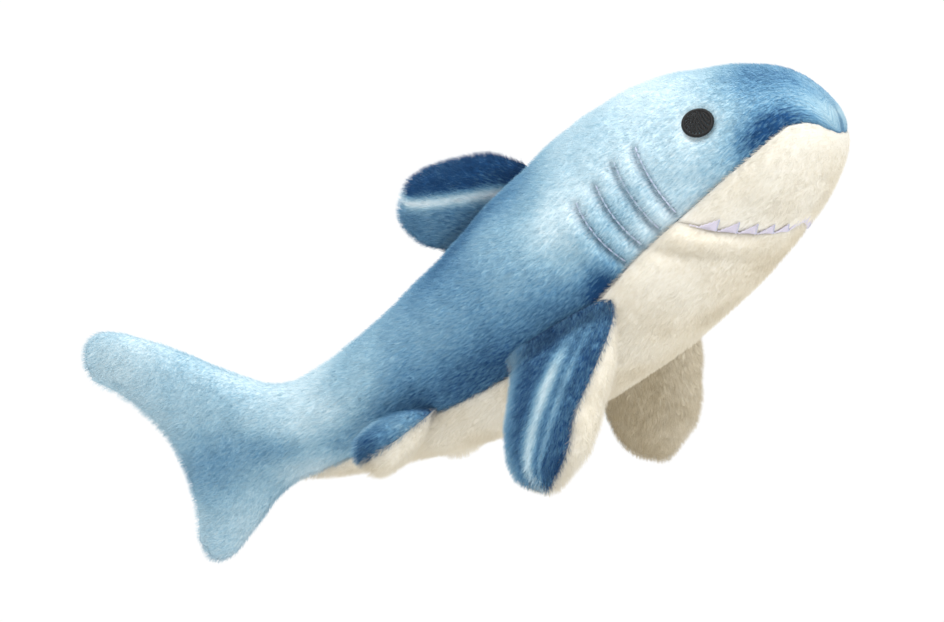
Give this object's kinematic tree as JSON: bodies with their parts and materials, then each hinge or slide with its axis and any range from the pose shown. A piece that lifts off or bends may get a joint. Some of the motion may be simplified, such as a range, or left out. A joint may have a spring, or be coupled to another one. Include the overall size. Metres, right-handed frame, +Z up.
{
  "type": "plush shark",
  "caption": "Soft stuffed shark toy in blue and cream plush, with embroidered eyes, gills and teeth, flapping fins and a wagging tail.",
  "frame": {"origin": "on the floor under the middle of the toy's overall box, as it rests on its chin and its two breast fin tips", "axes": "+X towards the nose, +Y to the shark's left, +Z up; the body leans 22 degrees nose down from level"},
  "size_m": [0.2827, 0.1156, 0.1896],
  "materials": {
    "blue_plush": "short pile plush, brushed nap",
    "cream_plush": "short pile plush, brushed nap",
    "stuffing": "loose polyester fibre",
    "black_thread": "satin embroidery thread",
    "grey_thread": "satin embroidery thread",
    "lilac_thread": "satin embroidery thread"
  },
  "bodies": {
    "torso": {"right_side_panel": "blue_plush", "left_side_panel": "blue_plush", "muzzle_panel": "cream_plush", "belly_panel": "cream_plush", "body_stuffing": "stuffing", "right_eye": "black_thread", "left_eye": "black_thread", "right_gill_stitches": "grey_thread", "left_gill_stitches": "grey_thread", "mouth_embroidery": "lilac_thread"},
    "tail": {"tail_right_panel": "blue_plush", "tail_left_panel": "blue_plush", "tail_stuffing": "stuffing"},
    "back_fin": {"back_fin_right_panel": "blue_plush", "back_fin_left_panel": "blue_plush", "back_fin_stuffing": "stuffing"},
    "right_breast_fin": {"right_breast_fin_top": "blue_plush", "right_breast_fin_bottom": "cream_plush", "right_breast_fin_stuffing": "stuffing"},
    "right_pelvic_fin": {"right_pelvic_fin_top": "blue_plush", "right_pelvic_fin_bottom": "cream_plush", "right_pelvic_fin_stuffing": "stuffing"},
    "left_breast_fin": {"left_breast_fin_top": "blue_plush", "left_breast_fin_bottom": "cream_plush", "left_breast_fin_stuffing": "stuffing"},
    "left_pelvic_fin": {"left_pelvic_fin_top": "blue_plush", "left_pelvic_fin_bottom": "cream_plush", "left_pelvic_fin_stuffing": "stuffing"}
  },
  "joints": [
    {"name": "tail_wag", "type": "hinge", "parent": "torso", "child": "tail", "pos_m": [-0.08232, 0, 0.10199], "axis": [0.3746, 0, 0.9272], "range_deg": [-25, 25], "stiffness_Nm_per_rad": 0.08},
    {"name": "back_fin_flop", "type": "hinge", "parent": "torso", "child": "back_fin", "pos_m": [0.02984, 0, 0.09501], "axis": [0.9919, 0, -0.1267], "range_deg": [-25, 25], "stiffness_Nm_per_rad": 0.03},
    {"name": "right_breast_fin_flap", "type": "hinge", "parent": "torso", "child": "right_breast_fin", "pos_m": [0.02599, -0.03383, 0.03288], "axis": [-0.9288, -0.0012, 0.3706], "range_deg": [-2, 45], "stiffness_Nm_per_rad": 0.3},
    {"name": "right_pelvic_fin_flap", "type": "hinge", "parent": "torso", "child": "right_pelvic_fin", "pos_m": [-0.04125, -0.02106, 0.06302], "axis": [-0.8913, 0.2778, 0.3584], "range_deg": [-15, 35], "stiffness_Nm_per_rad": 0.02},
    {"name": "left_breast_fin_flap", "type": "hinge", "parent": "torso", "child": "left_breast_fin", "pos_m": [0.02599, 0.03383, 0.03288], "axis": [0.9288, -0.0012, -0.3706], "range_deg": [-2, 45], "stiffness_Nm_per_rad": 0.3},
    {"name": "left_pelvic_fin_flap", "type": "hinge", "parent": "torso", "child": "left_pelvic_fin", "pos_m": [-0.04125, 0.02106, 0.06302], "axis": [0.8913, 0.2778, -0.3584], "range_deg": [-15, 35], "stiffness_Nm_per_rad": 0.02}
  ]
}
